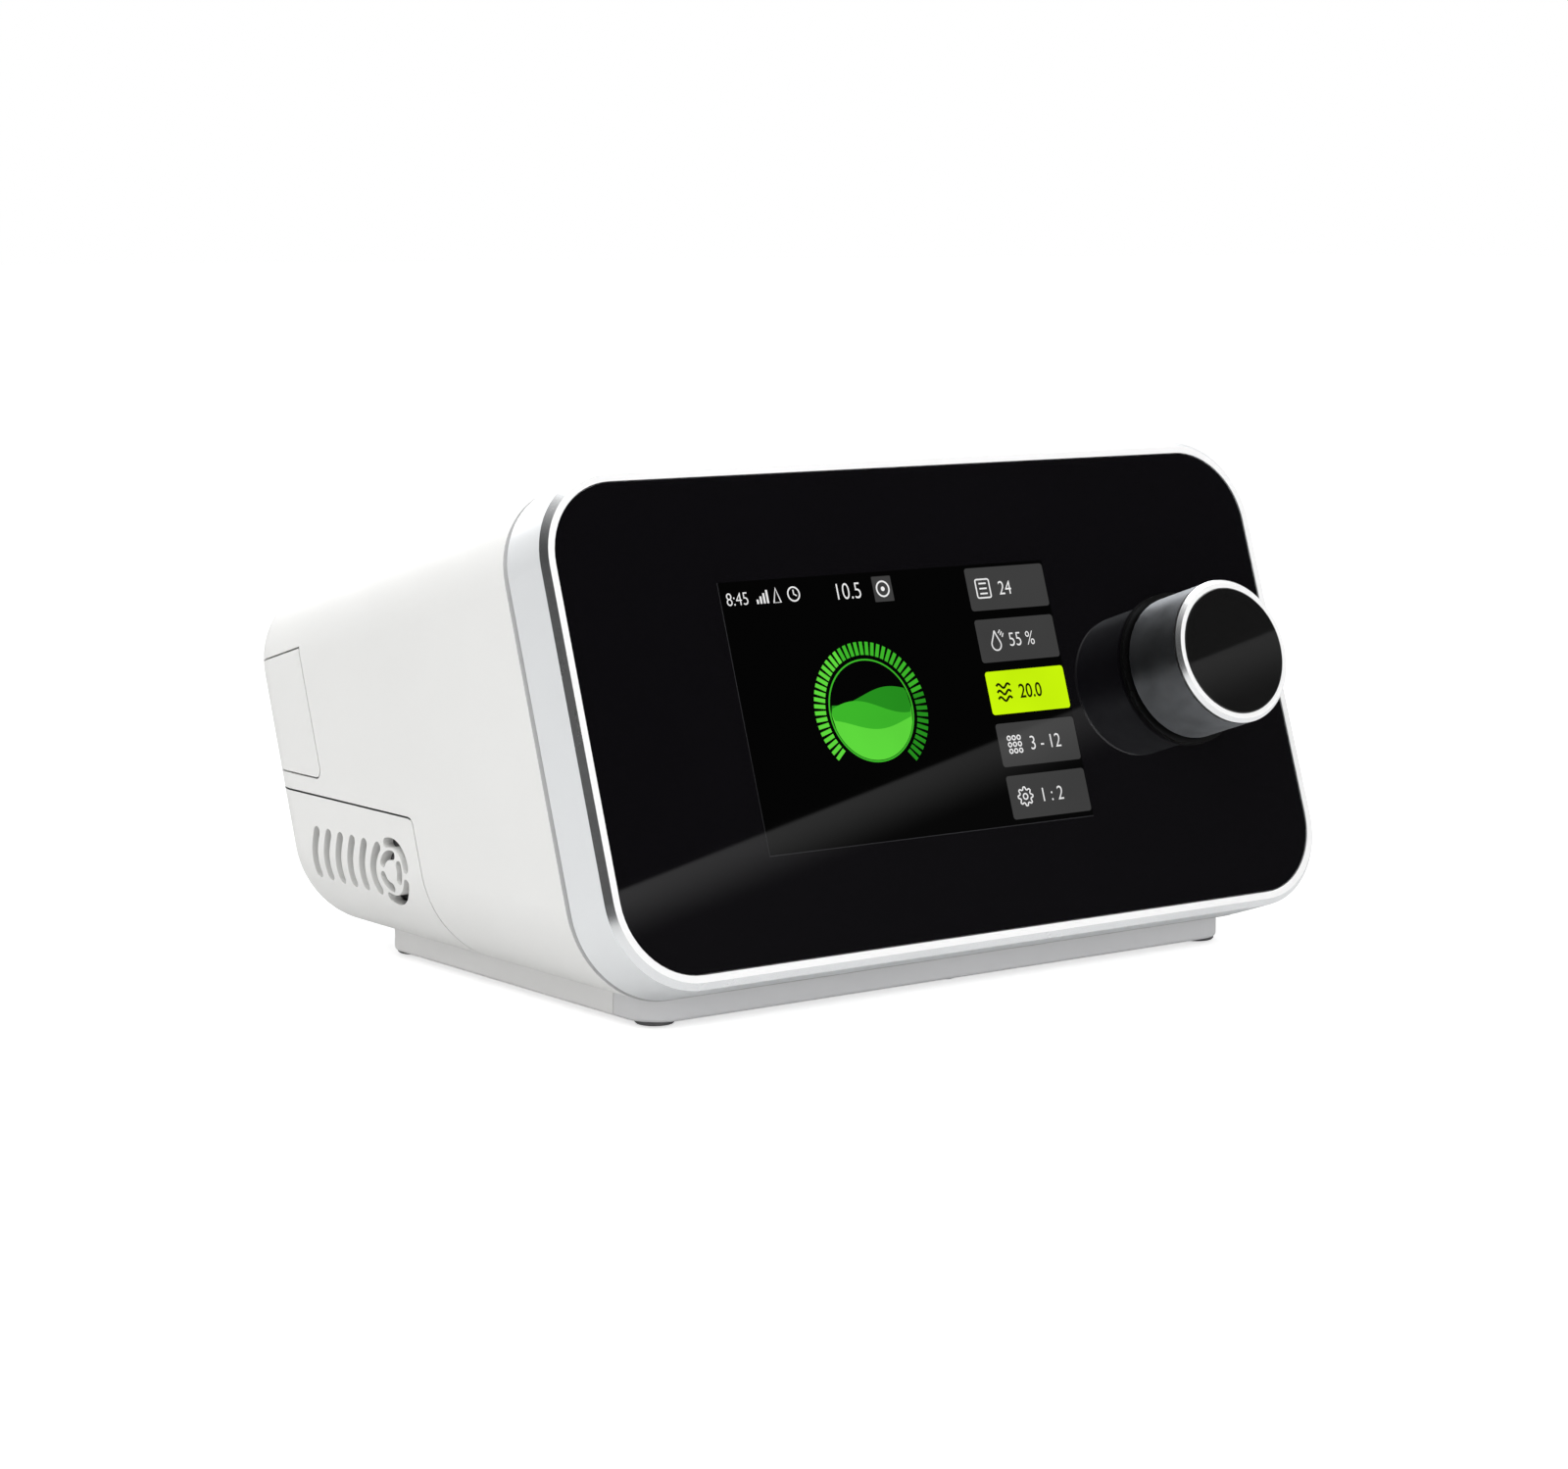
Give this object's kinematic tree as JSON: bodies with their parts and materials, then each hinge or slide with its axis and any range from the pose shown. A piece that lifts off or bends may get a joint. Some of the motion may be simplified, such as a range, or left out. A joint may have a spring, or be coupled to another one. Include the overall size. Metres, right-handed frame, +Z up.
{
  "type": "bilevel pap machine",
  "caption": "Table-top breathing-support machine: leaning black glass front with a display and a press-and-turn knob, white case, lift-off side covers, rear air outlet and inner blower.",
  "frame": {"origin": "centre of the base's footprint, on the table under the rubber feet", "axes": "+Z up, the leaning front faces -Y, +X is to the right of a user who faces the front"},
  "size_m": [0.19, 0.1676, 0.1101],
  "materials": {
    "case_white": "fine matte",
    "ring_silver": "satin silver paint",
    "front_black": "polished, black behind",
    "display": "polished",
    "light_unit": "satin",
    "black_plastic": "matte",
    "board_green": "satin",
    "steel": "bright",
    "flex_amber": "satin",
    "switch_grey": "matte",
    "nickel_brass": "plated",
    "knob_grey": "brushed, dark anodised",
    "rim_silver": "polished",
    "black_gloss": "polished",
    "foam_grey": "open cell",
    "filter_white": "fibrous",
    "duct_grey": "satin",
    "base_grey": "matte",
    "rubber_black": "matte",
    "rubber_grey": "matte",
    "core_steel": "rolled",
    "copper": "enamelled wire",
    "magnet_grey": "ground",
    "wheel_grey": "satin"
  },
  "bodies": {
    "machine": {"main_case": "case_white", "front_bezel": "ring_silver", "front_glass": "front_black", "display_cell": "display", "display_light": "light_unit", "display_bracket": "black_plastic", "display_board": "board_green", "display_screws": "steel", "display_ribbon": "flex_amber", "encoder_body": "switch_grey", "encoder_bushing": "nickel_brass", "press_dome": "steel", "knob_base": "black_gloss", "fine_filter": "filter_white", "inlet_duct": "duct_grey", "base_tray": "base_grey", "base_front": "base_grey", "base_screws": "steel", "rubber_feet": "rubber_black", "chassis": "black_plastic", "chassis_screws": "steel", "blower_box": "duct_grey", "box_lid": "duct_grey", "box_foam": "foam_grey", "scroll_base": "wheel_grey", "scroll_cover": "wheel_grey", "motor_can": "steel", "motor_bearings": "steel", "stator_core": "core_steel", "stator_coils": "copper", "blower_boot": "rubber_grey", "outlet_elbow": "rubber_grey", "flow_tube": "duct_grey", "flow_sensor": "black_plastic", "sensor_hoses": "rubber_grey", "outlet_seal": "rubber_grey", "outlet_port": "base_grey", "power_socket": "black_plastic", "board_standoffs": "nickel_brass", "main_board": "board_green", "board_screws": "steel", "board_parts": "black_plastic", "clock_cell": "steel", "service_board": "board_green", "card_reader": "steel", "data_port": "steel", "speaker": "black_plastic"},
    "knob_press_body": {"press_plunger": "black_plastic"},
    "knob": {"encoder_shaft": "steel", "knob_body": "knob_grey", "knob_rim": "rim_silver", "knob_cap": "black_gloss"},
    "rotor": {"spindle": "steel", "rotor_magnet": "magnet_grey", "blower_wheel": "wheel_grey"},
    "filter_door": {"filter_cover": "case_white", "coarse_filter": "foam_grey"},
    "port_door": {"port_cover": "case_white"}
  },
  "joints": [
    {"name": "knob_press", "type": "slide", "parent": "machine", "child": "knob_press_body", "axis": [0, 0.9483, -0.3173], "range_m": [0, 0.0006], "stiffness_N_per_m": 4000, "springref_m": -0.0003},
    {"name": "knob_turn", "type": "hinge", "parent": "knob_press_body", "child": "knob", "pos_m": [0.0643, -0.04977, 0.06175], "axis": [0, -0.9483, 0.3173], "continuous": true},
    {"name": "rotor_spin", "type": "hinge", "parent": "machine", "child": "rotor", "pos_m": [-0.014, 0.004, 0.03855], "axis": [0, 0, 1], "continuous": true},
    {"name": "filter_cover_pull", "type": "slide", "parent": "machine", "child": "filter_door", "axis": [-1, 0, 0], "range_m": [0, 0.05]},
    {"name": "port_cover_pull", "type": "slide", "parent": "machine", "child": "port_door", "axis": [-1, 0, 0], "range_m": [0, 0.035]}
  ]
}
